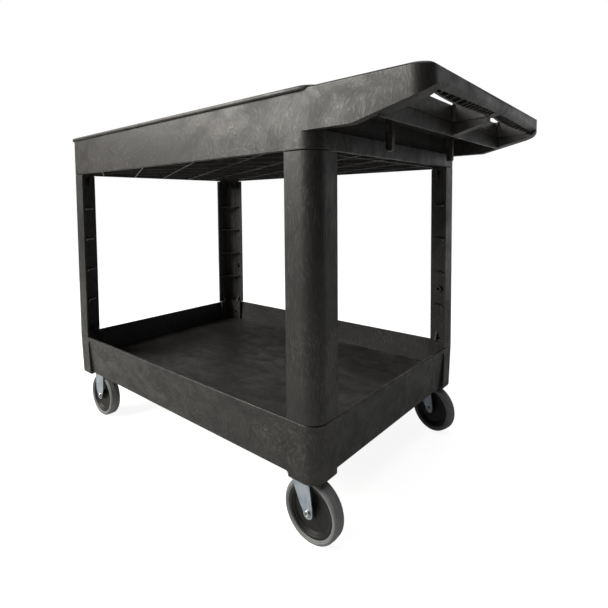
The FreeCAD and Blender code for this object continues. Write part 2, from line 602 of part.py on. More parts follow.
def fork(x, y, yaw):
    """Swivel fork: pressed crown, lower race groove and two raked legs."""
    reach = math.sqrt(FORK_SWEEP_R ** 2 - (LEG_IN + LEG_T) ** 2)
    top = CROWN_Z + CROWN_T
    crown = box(-reach, reach, -(LEG_IN + LEG_T), LEG_IN + LEG_T, CROWN_Z, top)
    crown = crown.makeFillet(5.0, [e for e in crown.Edges if e.BoundBox.ZLength > 3])
    crown = crown.fuse(Part.makeCone(24.0, 22.0, PLATE_TOP - 11.5 - top, V(0, 0, top)))
    groove = Part.makeTorus(17.0, 2.9, V(0, 0, 148.4))
    crown = crown.cut(groove)
    pts = [(-20, top), (reach - 4, top), (reach, BOOT_Z - 1.0), (38.6, 115.0), (44.6, 75), (44.6, 57.5),
           (38, 52), (29, 52), (24.0, 60), (-13.5, 120), (-20, top - 3.0)]
    parts = [crown]
    for s in (-1, 1):
        y0, y1 = sorted((s * LEG_IN, s * (LEG_IN + LEG_T)))
        flat = prism_xz(pts, y0, y1)
        eye = cyl(TRAIL, y0, WHEEL_R, 11.0, LEG_T, V(0, 1, 0))
        upper = flat.common(box(-60, 60, -60, 60, WHEEL_R, 150))
        parts.append(upper.fuse(eye))
        bead = prism_xz([(13, top - 1), (22, top - 1), (33, 95), (26, 95)],
                        *sorted((s * (LEG_IN + 1), s * (LEG_IN + 3.7))))
        edges = [e for e in bead.Edges if e.BoundBox.YLength < 0.1 and abs(e.BoundBox.YMin) > LEG_IN + 3.2]
        parts.append(bead.makeChamfer(1.0, edges))
    body = fuse_all(parts)
    body = body.cut(cyl(TRAIL, -40, WHEEL_R, AXLE_R + 0.1, 80, V(0, 1, 0)))
    body = body.cut(cyl(0, 0, CROWN_Z - 5.0, 6.05, 40))
    return place_swivel(body, x, y, yaw)


def axle_bolt():
    """Round-headed axle bolt about the wheel centre, along Y."""
    out = LEG_IN + LEG_T
    shank = cyl(0, -out, 0, AXLE_R, 2 * out + 11.0, V(0, 1, 0))
    head = cyl(0, -out - 4.0, 0, 7.0, 4.0, V(0, 1, 0))
    edge = [e for e in head.Edges if e.BoundBox.YMax < -out - 3.9]
    head = head.makeFillet(2.6, edge)
    socket = prism([V(2.9 * math.cos(math.pi * k / 3), -out - 5, 2.9 * math.sin(math.pi * k / 3)) for k in range(6)],
                   V(0, 3.2, 0))
    tip = [e for e in shank.Edges if e.BoundBox.YMin > out + 10.9]
    return fuse_all([shank.makeChamfer(0.8, tip), head]).cut(socket)


def axle_nut():
    """Hex lock nut with a washer face on the free end of the axle."""
    out = LEG_IN + LEG_T
    hexagon = [V(8.2 * math.cos(math.pi * k / 3), out + 1.2, 8.2 * math.sin(math.pi * k / 3)) for k in range(6)]
    nut = prism(hexagon, V(0, 6.5, 0))
    cone = Part.makeCone(9.4, 6.0, 3.4, V(0, out + 4.6, 0), V(0, 1, 0))
    nut = nut.common(cyl(0, out, 0, 7.9, 5.2, V(0, 1, 0)).fuse(cone))
    washer = cyl(0, out, 0, 10.0, 1.2, V(0, 1, 0))
    collar = cyl(0, out + 6.0, 0, 6.2, 3.0, V(0, 1, 0))
    return fuse_all([nut, washer, collar]).cut(cyl(0, out - 1, 0, AXLE_R, 30, V(0, 1, 0)))


def bushing():
    """Flanged plain bearing sleeve pressed in the hub."""
    tube = cyl(0, -16.6, 0, 7.5, 33.2, V(0, 1, 0))
    flanges = [cyl(0, s * 16.6 - (1.4 if s > 0 else 0.0), 0, 9.5, 1.4, V(0, 1, 0)) for s in (-1, 1)]
    return fuse_all([tube] + flanges).cut(cyl(0, -20, 0, AXLE_R + 0.05, 40, V(0, 1, 0)))


def spin(profile):
    """Solid of revolution about Y from (radius, y) points."""
    pts = [V(r, y, 0) for r, y in profile]
    face = Part.Face(Part.makePolygon(pts + [pts[0]]))
    return face.revolve(V(0, 0, 0), V(0, 1, 0), 360)


def hub():
    """Moulded hub with recessed web, step rings and a tyre seat."""
    half = [(7.5, 15.2), (11.5, 15.2), (12.5, 14.2), (13.0, 6.6), (14.5, 5.2), (40.5, 5.2), (42.0, 6.4),
            (42.8, 9.4), (44.6, 10.0), (45.6, 12.6), (49.6, 12.8), (51.0, 11.4), (51.0, 9.0), (53.0, 7.0)]
    profile = half + [(r, -y) for r, y in reversed(half)]
    return spin(profile)


def tyre():
    """Soft tread moulded over the hub rim."""
    half = [(51.0, 9.0), (51.0, 11.4), (51.6, 13.4), (53.6, 14.8), (56.0, 15.0), (59.0, 14.0), (61.2, 11.8),
            (62.2, 8.5), (WHEEL_R, 4.0)]
    profile = [(53.0, 7.0)] + half + [(r, -y) for r, y in reversed(half)] + [(53.0, -7.0)]
    return spin(profile)


def plate_bolts(x, y):
    """Four round-headed bolts threaded up into the pads of one caster."""
    out = []
    for hx, hy in plate_holes(x, y):
        head = cyl(hx, hy, PLATE_TOP - 8.0, 7.0, 5.0)
        low = [e for e in head.Edges if e.BoundBox.ZMax < PLATE_TOP - 7.9]
        head = head.makeFillet(2.2, low)
        shank = cyl(hx, hy, PLATE_TOP - 3.0, 3.9, 16.0)
        out.append(fuse_all([head, shank]))
    return Part.makeCompound(out)


def wheel_set(prefix, x, y, yaw, swivel):
    """Axle, bearing and wheel nodes of one caster."""
    for name, shape in (("axle_bolt", axle_bolt()), ("axle_nut", axle_nut()), ("bushing", bushing()),
                        ("wheel_hub", hub()), ("tyre", tyre())):
        shape.translate(V(TRAIL if swivel else 0.0, 0, WHEEL_R))
        save(place_swivel(shape, x, y, yaw), prefix + "_" + name)


def build_casters():
    """Two rigid casters at the plain end and two swivel casters under the handle."""
    y = HALF_WIDTH - CASTER_INSET
    for s, side in ((-1, "near"), (1, "far")):
        prefix = "rigid_" + side
        save(rigid_bracket(X_RIGID, s * y), prefix + "_bracket")
        save(plate_bolts(X_RIGID, s * y), prefix + "_plate_bolts")
        wheel_set(prefix, X_RIGID, s * y, 0.0, False)
    for s, side, yaw in ((-1, "near", YAW_NEAR), (1, "far", YAW_FAR)):
        prefix = "swivel_" + side
        save(swivel_plate(X_SWIVEL, s * y), prefix + "_plate")
        save(race_balls(X_SWIVEL, s * y), prefix + "_race_balls")
        save(kingpin(X_SWIVEL, s * y), prefix + "_kingpin")
        save(fork(X_SWIVEL, s * y, yaw), prefix + "_fork")
        save(plate_bolts(X_SWIVEL, s * y), prefix + "_plate_bolts")
        wheel_set(prefix, X_SWIVEL, s * y, yaw, True)


save(bottom_shelf(), "bottom_shelf")
save(top_shelf(), "top_shelf")
POST = post()
for SX, SY, NAME in corners():
    save(to_corner(POST, SX, SY), "post_" + NAME)
save(post_screws(205.0), "post_screws_lower")
save(post_screws(752.0), "post_screws_upper")
build_casters()
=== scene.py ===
"""Looks of a rolling utility cart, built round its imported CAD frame."""

import json
import logging
import math
from dataclasses import dataclass, field
from enum import Enum

import bmesh
import bpy
from mathutils import Matrix, Vector


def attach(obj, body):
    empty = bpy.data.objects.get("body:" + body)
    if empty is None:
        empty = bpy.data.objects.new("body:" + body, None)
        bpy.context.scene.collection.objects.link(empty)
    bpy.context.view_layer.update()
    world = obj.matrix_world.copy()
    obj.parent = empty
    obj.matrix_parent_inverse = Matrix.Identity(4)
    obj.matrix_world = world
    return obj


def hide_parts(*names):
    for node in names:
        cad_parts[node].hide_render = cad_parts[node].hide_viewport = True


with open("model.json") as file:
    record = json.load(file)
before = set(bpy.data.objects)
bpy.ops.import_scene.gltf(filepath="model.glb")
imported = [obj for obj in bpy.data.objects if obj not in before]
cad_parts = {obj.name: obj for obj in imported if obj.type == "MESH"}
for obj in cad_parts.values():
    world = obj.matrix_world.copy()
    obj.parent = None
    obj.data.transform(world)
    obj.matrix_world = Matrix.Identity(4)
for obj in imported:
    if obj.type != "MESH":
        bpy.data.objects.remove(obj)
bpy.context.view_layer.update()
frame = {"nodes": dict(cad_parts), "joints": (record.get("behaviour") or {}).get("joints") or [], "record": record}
LOG = logging.getLogger("cart")
MM = 0.001

Point2 = tuple[float, float]
Colour = tuple[float, float, float, float]


# ------------------------------------------------------------------------------------------------
# small helpers
# ------------------------------------------------------------------------------------------------
def linear(code: str, alpha: float = 1.0) -> Colour:
    """Turns an sRGB hex colour to the linear values that shaders use.

    Args:
        code: Colour as "#rrggbb".
        alpha: Fourth value of the result.

    Returns:
        Linear red, green and blue, then alpha.
    """
    parts = [int(code[i : i + 2], 16) / 255 for i in (1, 3, 5)]
    red, green, blue = (c / 12.92 if c <= 0.04045 else ((c + 0.055) / 1.055) ** 2.4 for c in parts)
    return red, green, blue, alpha


def add_node(
    tree: bpy.types.NodeTree,
    kind: str,
    settings: dict[str, object] | None = None,
    inputs: dict[str | int, object] | None = None,
) -> bpy.types.Node:
    """Adds one node, with its settings and its links.

    Args:
        tree: Node tree that gets the node.
        kind: Blender's type name of the node.
        settings: Property names and values.
        inputs: Socket names or numbers, each with a value or with the output that feeds it.

    Returns:
        The new node.
    """
    made = tree.nodes.new(kind)
    for name, value in (settings or {}).items():
        setattr(made, name, value)
    for name, value in (inputs or {}).items():
        if isinstance(value, bpy.types.NodeSocket):
            tree.links.new(value, made.inputs[name])
        else:
            made.inputs[name].default_value = value
    return made


def new_material(name: str) -> tuple[bpy.types.Material, bpy.types.NodeTree, bpy.types.Node]:
    """Starts a node material.

    Args:
        name: Name of the material.

    Returns:
        The material, its tree and its Principled shader.
    """
    material = bpy.data.materials.new(name)
    material.use_nodes = True
    tree = material.node_tree
    return material, tree, tree.nodes["Principled BSDF"]


def mesh_object(
    name: str, verts: list[Vector], faces: list[tuple[int, ...]], crease: float = 32.0
) -> bpy.types.Object:
    """Makes a smooth-shaded mesh object.

    Args:
        name: Name of the object.
        verts: Corner points in metres.
        faces: Corner numbers of each face.
        crease: Angle in degrees above which an edge stays sharp.

    Returns:
        The object, linked to the scene.
    """
    mesh = bpy.data.meshes.new(name)
    mesh.from_pydata([tuple(v) for v in verts], [], faces)
    mesh.validate()
    work = bmesh.new()
    work.from_mesh(mesh)
    bmesh.ops.remove_doubles(work, verts=work.verts, dist=1e-6)
    bmesh.ops.recalc_face_normals(work, faces=work.faces)
    work.to_mesh(mesh)
    work.free()
    mesh.shade_smooth()
    mesh.set_sharp_from_angle(angle=math.radians(crease))
    made = bpy.data.objects.new(name, mesh)
    bpy.context.scene.collection.objects.link(made)
    return made


def rounded(points: list[tuple[float, float, float]], closed: bool, steps: int = 5) -> list[Point2]:
    """Rounds the corners of a flat outline.

    Args:
        points: Each corner with its rounding radius, all in one unit.
        closed: True if the last corner joins the first.
        steps: Pieces in each rounded corner.

    Returns:
        The outline's points.
    """
    out: list[Point2] = []
    count = len(points)
    for i, (x, y, radius) in enumerate(points):
        if radius <= 0 or (not closed and i in (0, count - 1)):
            out.append((x, y))
            continue
        before = Vector(points[i - 1][:2]) - Vector((x, y))
        after = Vector(points[(i + 1) % count][:2]) - Vector((x, y))
        turn = before.angle(after)
        reach = min(radius / math.tan(turn / 2), 0.48 * before.length, 0.48 * after.length)
        start = Vector((x, y)) + before.normalized() * reach
        end = Vector((x, y)) + after.normalized() * reach
        for k in range(steps + 1):
            t = k / steps
            point = start * (1 - t) ** 2 + Vector((x, y)) * 2 * t * (1 - t) + end * t**2
            out.append((point.x, point.y))
    return out


def lathe(
    name: str, profile: list[Point2], segments: int = 96, closed: bool = True, hexed: tuple[int, ...] = ()
) -> bpy.types.Object:
    """Turns a profile about Y, as a wheel is.

    Args:
        name: Name of the object.
        profile: Radius and Y of each point, in millimetres.
        segments: Steps round the axis.
        closed: True if the profile's last point joins its first.
        hexed: Numbers of the points that follow a hexagon, whose corners have that radius.

    Returns:
        The turned object, about the origin.
    """
    verts: list[Vector] = []
    faces: list[tuple[int, ...]] = []
    count = len(profile)
    for s in range(segments):
        angle = 2 * math.pi * s / segments
        flat = math.cos(math.pi / 6) / math.cos(angle % (math.pi / 3) - math.pi / 6)
        for i, (radius, y) in enumerate(profile):
            reach = radius * flat if i in hexed else radius
            verts.append(Vector((reach * math.cos(angle), y, reach * math.sin(angle))) * MM)
    last = count if closed else count - 1
    for s in range(segments):
        for p in range(last):
            a, b = s * count + p, s * count + (p + 1) % count
            c, d = ((s + 1) % segments) * count + (p + 1) % count, ((s + 1) % segments) * count + p
            faces.append((a, b, c, d))
    return mesh_object(name, verts, faces)


def plate(name: str, outline: list[Point2], y0: float, y1: float, bevel: float = 0.5) -> bpy.types.Object:
    """Makes a flat pressed piece with rounded edges, its outline in the XZ plane.

    Args:
        name: Name of the object.
        outline: Closed outline in millimetres.
        y0: Lower Y face in millimetres.
        y1: Upper Y face in millimetres.
        bevel: Edge rounding in millimetres.

    Returns:
        The plate.
    """
    count = len(outline)
    verts = [Vector((x, y, z)) * MM for y in (y0, y1) for x, z in outline]
    faces: list[tuple[int, ...]] = [tuple(range(count)), tuple(range(2 * count - 1, count - 1, -1))]
    faces += [(i, (i + 1) % count, count + (i + 1) % count, count + i) for i in range(count)]
    made = mesh_object(name, verts, faces)
    if bevel > 0:
        soften(made, bevel)
    return made


def combine(target: bpy.types.Object, tool: bpy.types.Object, how: str) -> None:
    """Cuts or keeps part of a piece with a second solid, which is used up.

    Args:
        target: Object to change.
        tool: Solid that cuts it.
        how: "INTERSECT" keeps what both fill, and "DIFFERENCE" takes the tool away.
    """
    cut = target.modifiers.new("cut", "BOOLEAN")
    cut.object = tool
    cut.operation = how
    cut.solver = "EXACT"
    baked = bpy.data.meshes.new_from_object(target.evaluated_get(bpy.context.evaluated_depsgraph_get()))
    target.modifiers.clear()
    target.data = baked
    bpy.data.objects.remove(tool)


def soften(target: bpy.types.Object, width: float, segments: int = 2, angle: float = 40.0) -> None:
    """Rounds the sharp edges of a piece and applies it.

    Args:
        target: Object to change.
        width: Rounding in millimetres.
        segments: Steps of the rounding.
        angle: Edges sharper than this many degrees are rounded.
    """
    bevel = target.modifiers.new("edge", "BEVEL")
    bevel.width = width * MM
    bevel.segments = segments
    bevel.limit_method = "ANGLE"
    bevel.angle_limit = math.radians(angle)
    bevel.harden_normals = True
    baked = bpy.data.meshes.new_from_object(target.evaluated_get(bpy.context.evaluated_depsgraph_get()))
    target.modifiers.clear()
    target.data = baked


def join(name: str, parts: list[bpy.types.Object]) -> bpy.types.Object:
    """Joins pieces of one real part.

    Args:
        name: Name of the joined object.
        parts: Objects to join; they are used up.

    Returns:
        The joined object.
    """
    with bpy.context.temp_override(active_object=parts[0], selected_editable_objects=parts):
        bpy.ops.object.join()
    parts[0].name = name
    parts[0].data.name = name
    return parts[0]


def dress(target: bpy.types.Object, material: bpy.types.Material) -> None:
    """Gives a whole piece one finish."""
    target.data.materials.clear()
    target.data.materials.append(material)


def dress_node(node: str, material: bpy.types.Material) -> None:
    """Gives a shown CAD node one finish through its object's own slots.

    Args:
        node: CAD node's name.
        material: Finish to show.
    """
    target = frame["nodes"][node]
    for slot in target.material_slots:
        slot.link = "OBJECT"
        slot.material = material


# ------------------------------------------------------------------------------------------------
# finishes
# ------------------------------------------------------------------------------------------------
class Flow(Enum):
    """Way the melt ran in the mould, as a stretch of the swirl pattern along X, Y and Z."""

    ALONG_CART = (0.55, 1.0, 0.8)
    UP_POST = (1.0, 1.0, 0.5)


@dataclass(frozen=True)
class StructuralFoam:
    """Black polyethylene structural foam, low-pressure moulded.

    Gas in the melt breaks at the mould face and is dragged along as the part fills. That leaves bundles of
    fine silvery lines that curl like a fingerprint, over cloudy patches, on a satin charcoal skin. The eye
    reads the material from them, and from the few pale scuffs where the skin has rubbed.
    """

    name: str
    flow: Flow
    base: str = "#1c1a19"
    dark: str = "#0d0c0d"
    streak: str = "#6d6964"
    scuff: str = "#8f8b84"
    roughness: float = 0.47
    front_mm: float = 170.0
    whorl_mm: float = 105.0
    lines_per_whorl: float = 46.0  # about one line every 2 mm
    fibre_mm: float = 2.3  # the real fibres are under 1 mm wide, drawn coarser so that they show
    fibre_run: float = 0.2
    cloud_mm: float = 30.0
    patch_mm: float = 85.0
    scuff_mm: float = 46.0
    grain_mm: float = 1.4  # the real grain is about 0.3 mm, drawn coarser so that it shows
    line_share: float = 0.34
    haze_share: float = 0.035
    scuff_share: float = 0.5

    def dragged(self, tree: bpy.types.NodeTree, place: bpy.types.NodeSocket) -> bpy.types.NodeSocket:
        """Bends space the way the melt front dragged the skin.

        Args:
            tree: Node tree that gets the bend.
            place: Place on the piece.

        Returns:
            The bent place.
        """
        flow = add_node(tree, "ShaderNodeMapping", inputs={"Vector": place, "Scale": self.flow.value})
        point = flow.outputs[0]
        for size, reach in ((self.front_mm, 0.11), (self.cloud_mm * 1.6, 0.02)):
            swirl = {"Vector": point, "Scale": 1 / (size * MM), "Detail": 2.0, "Roughness": 0.6}
            push = add_node(tree, "ShaderNodeTexNoise", inputs=swirl)
            middle = {0: push.outputs["Color"], 1: (0.5, 0.5, 0.5)}
            centred = add_node(tree, "ShaderNodeVectorMath", {"operation": "SUBTRACT"}, middle)
            shift = {0: centred.outputs[0], 1: (reach, reach, reach), 2: point}
            point = add_node(tree, "ShaderNodeVectorMath", {"operation": "MULTIPLY_ADD"}, shift).outputs[0]
        return point

    def build(self) -> bpy.types.Material:
        """Builds the node material."""
        material, tree, shader = new_material(self.name)
        place = add_node(tree, "ShaderNodeTexCoord").outputs["Object"]
        point = self.dragged(tree, place)
        drawn = {"Vector": point, "Scale": (1.0, 1.0, self.fibre_run)}
        along = add_node(tree, "ShaderNodeMapping", inputs=drawn).outputs[0]
        seen: dict[str, bpy.types.NodeSocket] = {}
        for pattern, source, size, detail in (
            ("whorl", point, self.whorl_mm, 1.2),
            ("fibre", along, self.fibre_mm, 3.0),
            ("patch", point, self.patch_mm, 4.0),
            ("cloud", point, self.cloud_mm, 6.0),
            ("rub", point, self.scuff_mm, 5.0),
            ("grain", place, self.grain_mm, 2.0),
        ):
            inputs = {"Vector": source, "Scale": 1 / (size * MM), "Detail": detail, "Roughness": 0.6}
            seen[pattern] = add_node(tree, "ShaderNodeTexNoise", inputs=inputs).outputs["Fac"]
        turns = {0: seen["whorl"], 1: 2 * math.pi * self.lines_per_whorl}
        phase = add_node(tree, "ShaderNodeMath", {"operation": "MULTIPLY"}, turns).outputs[0]
        seen["wave"] = add_node(tree, "ShaderNodeMath", {"operation": "SINE"}, {0: phase}).outputs[0]
        stepped: dict[str, bpy.types.NodeSocket] = {}
        for step, source, start, end, low, high in (
            ("line", "wave", -0.1, 0.95, 0.0, 1.0),
            ("fibre", "fibre", 0.46, 0.64, 0.0, 1.0),
            ("where", "patch", 0.38, 0.64, 0.25, 1.0),
            ("scuffs", "rub", 0.69, 0.77, 0.0, 1.0),
            ("shade", "cloud", 0.34, 0.66, 0.0, 1.0),
            ("gloss", "cloud", 0.3, 0.7, self.roughness + 0.1, self.roughness - 0.08),
        ):
            limits = {"From Min": start, "From Max": end, "To Min": low, "To Max": high}
            inputs = {"Value": seen[source], **limits}
            smooth = {"interpolation_type": "SMOOTHSTEP"}
            stepped[step] = add_node(tree, "ShaderNodeMapRange", smooth, inputs).outputs[0]
        mix = {0: stepped["line"], 1: 0.45, 2: 0.55}
        curled = add_node(tree, "ShaderNodeMath", {"operation": "MULTIPLY_ADD"}, mix).outputs[0]
        both = {0: curled, 1: stepped["fibre"]}
        broken = add_node(tree, "ShaderNodeMath", {"operation": "MULTIPLY"}, both).outputs[0]
        grouped = {0: broken, 1: stepped["where"]}
        streaks = add_node(tree, "ShaderNodeMath", {"operation": "MULTIPLY"}, grouped).outputs[0]
        tones = {"Factor": stepped["shade"], 6: linear(self.dark), 7: linear(self.base)}
        colour = add_node(tree, "ShaderNodeMix", {"data_type": "RGBA"}, tones).outputs[2]
        for amount, share, tone in (
            (stepped["where"], self.haze_share, self.streak),
            (streaks, self.line_share, self.streak),
            (stepped["scuffs"], self.scuff_share, self.scuff),
        ):
            shared = {0: amount, 1: share}
            part = add_node(tree, "ShaderNodeMath", {"operation": "MULTIPLY"}, shared).outputs[0]
            mixed = {"Factor": part, 6: colour, 7: linear(tone)}
            colour = add_node(tree, "ShaderNodeMix", {"data_type": "RGBA"}, mixed).outputs[2]
        lined = {0: streaks, 1: -0.1, 2: stepped["gloss"]}
        gloss = add_node(tree, "ShaderNodeMath", {"operation": "MULTIPLY_ADD"}, lined).outputs[0]
        relief = {0: broken, 1: 0.9, 2: seen["grain"]}
        height = add_node(tree, "ShaderNodeMath", {"operation": "MULTIPLY_ADD"}, relief).outputs[0]
        raised = {"Height": height, "Strength": 0.2, "Distance": 0.0007}
        bump = add_node(tree, "ShaderNodeBump", inputs=raised).outputs[0]
        tree.links.new(colour, shader.inputs["Base Color"])
        tree.links.new(gloss, shader.inputs["Roughness"])
        tree.links.new(bump, shader.inputs["Normal"])
        shader.inputs["IOR"].default_value = 1.5
        return material


@dataclass(frozen=True)
class BrightZinc:
    """Mild steel sheet with bright zinc plating and a clear blue passivation.

    It gives a cool pale metal with faint cloudy tint and fine rolling lines, softer than chrome.
    """

    name: str
    tone: str = "#c3cbd2"
    tint: str = "#a9b4c4"
    roughness: float = 0.3
    cloud_mm: float = 14.0
    line_mm: float = 0.8

    def build(self) -> bpy.types.Material:
        """Builds the node material."""
        material, tree, shader = new_material(self.name)
        place = add_node(tree, "ShaderNodeTexCoord")
        cloud = add_node(
            tree,
            "ShaderNodeTexNoise",
            inputs={"Vector": place.outputs["Object"], "Scale": 1 / (self.cloud_mm * MM), "Detail": 4.0},
        )
        clouded = {"Value": cloud.outputs["Fac"], "From Min": 0.35, "From Max": 0.65}
        part = add_node(tree, "ShaderNodeMapRange", inputs=clouded)
        colour = add_node(
            tree,
            "ShaderNodeMix",
            {"data_type": "RGBA"},
            {"Factor": part.outputs[0], 6: linear(self.tone), 7: linear(self.tint)},
        )
        drawn = add_node(
            tree, "ShaderNodeMapping", inputs={"Vector": place.outputs["Object"], "Scale": (1.0, 1.0, 0.06)}
        )
        line = add_node(
            tree,
            "ShaderNodeTexNoise",
            inputs={"Vector": drawn.outputs[0], "Scale": 1 / (self.line_mm * MM), "Detail": 2.0},
        )
        gloss = add_node(
            tree,
            "ShaderNodeMapRange",
            inputs={
                "Value": line.outputs["Fac"],
                "From Min": 0.3,
                "From Max": 0.7,
                "To Min": self.roughness - 0.06,
                "To Max": self.roughness + 0.1,
            },
        )
        raised = {"Height": line.outputs["Fac"], "Strength": 0.12, "Distance": 0.0002}
        bump = add_node(tree, "ShaderNodeBump", inputs=raised)
        tree.links.new(colour.outputs[2], shader.inputs["Base Color"])
        tree.links.new(gloss.outputs[0], shader.inputs["Roughness"])
        tree.links.new(bump.outputs[0], shader.inputs["Normal"])
        shader.inputs["Metallic"].default_value = 1.0
        return material


@dataclass(frozen=True)
class GrainedSkin:
    """What the plain finishes share: a cloudy tone and a fine grain, so that no face is one flat colour."""

    name: str
    tone: str
    other: str
    roughness: float
    cloud_mm: float
    grain_mm: float
    bump: float
    metallic: float = 0.0

    def build(self) -> bpy.types.Material:
        """Builds the node material."""
        material, tree, shader = new_material(self.name)
        place = add_node(tree, "ShaderNodeTexCoord")
        cloud = add_node(
            tree,
            "ShaderNodeTexNoise",
            inputs={"Vector": place.outputs["Object"], "Scale": 1 / (self.cloud_mm * MM), "Detail": 5.0},
        )
        clouded = {"Value": cloud.outputs["Fac"], "From Min": 0.35, "From Max": 0.65}
        part = add_node(tree, "ShaderNodeMapRange", inputs=clouded)
        colour = add_node(
            tree,
            "ShaderNodeMix",
            {"data_type": "RGBA"},
            {"Factor": part.outputs[0], 6: linear(self.tone), 7: linear(self.other)},
        )
        grain = add_node(
            tree,
            "ShaderNodeTexNoise",
            inputs={"Vector": place.outputs["Object"], "Scale": 1 / (self.grain_mm * MM), "Detail": 3.0},
        )
        gloss = add_node(
            tree,
            "ShaderNodeMapRange",
            inputs={
                "Value": grain.outputs["Fac"],
                "From Min": 0.3,
                "From Max": 0.7,
                "To Min": self.roughness - 0.05,
                "To Max": self.roughness + 0.07,
            },
        )
        bump = add_node(
            tree,
            "ShaderNodeBump",
            inputs={"Height": grain.outputs["Fac"], "Strength": self.bump, "Distance": 0.0004},
        )
        tree.links.new(colour.outputs[2], shader.inputs["Base Color"])
        tree.links.new(gloss.outputs[0], shader.inputs["Roughness"])
        tree.links.new(bump.outputs[0], shader.inputs["Normal"])
        shader.inputs["Metallic"].default_value = self.metallic
        return material


@dataclass(frozen=True)
class RubberTread(GrainedSkin):
    """Thermoplastic rubber, moulded on the hub: chalky mid grey with a dry, slightly scuffed skin."""

    name: str = "grey_rubber_tread"
    tone: str = "#6c6e6e"
    other: str = "#777978"
    roughness: float = 0.66
    cloud_mm: float = 22.0
    grain_mm: float = 1.2
    bump: float = 0.2


@dataclass(frozen=True)
class PolypropyleneHub(GrainedSkin):
    """Polypropylene, injection moulded: near black with a soft even shine."""

    name: str = "black_polypropylene_hub"
    tone: str = "#060606"
    other: str = "#0b0a0b"
    roughness: float = 0.5
    cloud_mm: float = 18.0
    grain_mm: float = 1.5
    bump: float = 0.08


@dataclass(frozen=True)
class NylonSleeve(GrainedSkin):
    """Nylon coloured with carbon black, moulded: dull and a little waxy."""

    name: str = "black_nylon"
    tone: str = "#1a1a1b"
    other: str = "#232324"
    roughness: float = 0.5
    cloud_mm: float = 8.0
    grain_mm: float = 0.8
    bump: float = 0.05


@dataclass(frozen=True)
class PhosphatedSteel(GrainedSkin):
    """Phosphated and oiled steel screws: dark, dry metal."""

    name: str = "black_phosphate_steel"
    tone: str = "#26262a"
    other: str = "#34343a"
    roughness: float = 0.48
    cloud_mm: float = 3.0
    grain_mm: float = 0.6
    bump: float = 0.1
    metallic: float = 0.8


@dataclass(frozen=True)
class BearingSteel(GrainedSkin):
    """Hardened bearing balls, ground and polished: small bright points."""

    name: str = "polished_bearing_steel"
    tone: str = "#c9ccd0"
    other: str = "#bfc3c8"
    roughness: float = 0.14
    cloud_mm: float = 6.0
    grain_mm: float = 1.0
    bump: float = 0.02
    metallic: float = 1.0


@dataclass
class Finishes:
    """The cart's finishes, each built once."""

    shelf: bpy.types.Material = field(init=False)
    post: bpy.types.Material = field(init=False)
    sheet: bpy.types.Material = field(init=False)
    bolt: bpy.types.Material = field(init=False)
    tyre: bpy.types.Material = field(init=False)
    hub: bpy.types.Material = field(init=False)
    nylon: bpy.types.Material = field(init=False)
    screw: bpy.types.Material = field(init=False)
    ball: bpy.types.Material = field(init=False)

    def __post_init__(self) -> None:
        """Builds every material."""
        self.shelf = StructuralFoam("shelf_structural_foam", Flow.ALONG_CART).build()
        self.post = StructuralFoam("post_structural_foam", Flow.UP_POST).build()
        self.sheet = BrightZinc("bright_zinc_sheet").build()
        self.bolt = BrightZinc("bright_zinc_fastener", tone="#b9bcbc", tint="#a3a5a4", roughness=0.34).build()
        self.tyre = RubberTread().build()
        self.hub = PolypropyleneHub().build()
        self.nylon = NylonSleeve().build()
        self.screw = PhosphatedSteel().build()
        self.ball = BearingSteel().build()


# ------------------------------------------------------------------------------------------------
# the cart
# ------------------------------------------------------------------------------------------------
@dataclass
class Mouldings:
    """Both shelves and the four posts: CAD shapes that keep their form and get their foam finish."""

    finishes: Finishes
    shelves: tuple[str, ...] = ("top_shelf", "bottom_shelf")
    posts: tuple[str, ...] = ("post_tail_near", "post_tail_far", "post_handle_near", "post_handle_far")
    screws: tuple[str, ...] = ("post_screws_lower", "post_screws_upper")

    def build(self) -> list[str]:
        """Dresses every moulding and its screws, and returns their names."""
        for names, finish in (
            (self.shelves, self.finishes.shelf),
            (self.posts, self.finishes.post),
            (self.screws, self.finishes.screw),
        ):
            for name in names:
                dress_node(name, finish)
        return [*self.shelves, *self.posts, *self.screws]


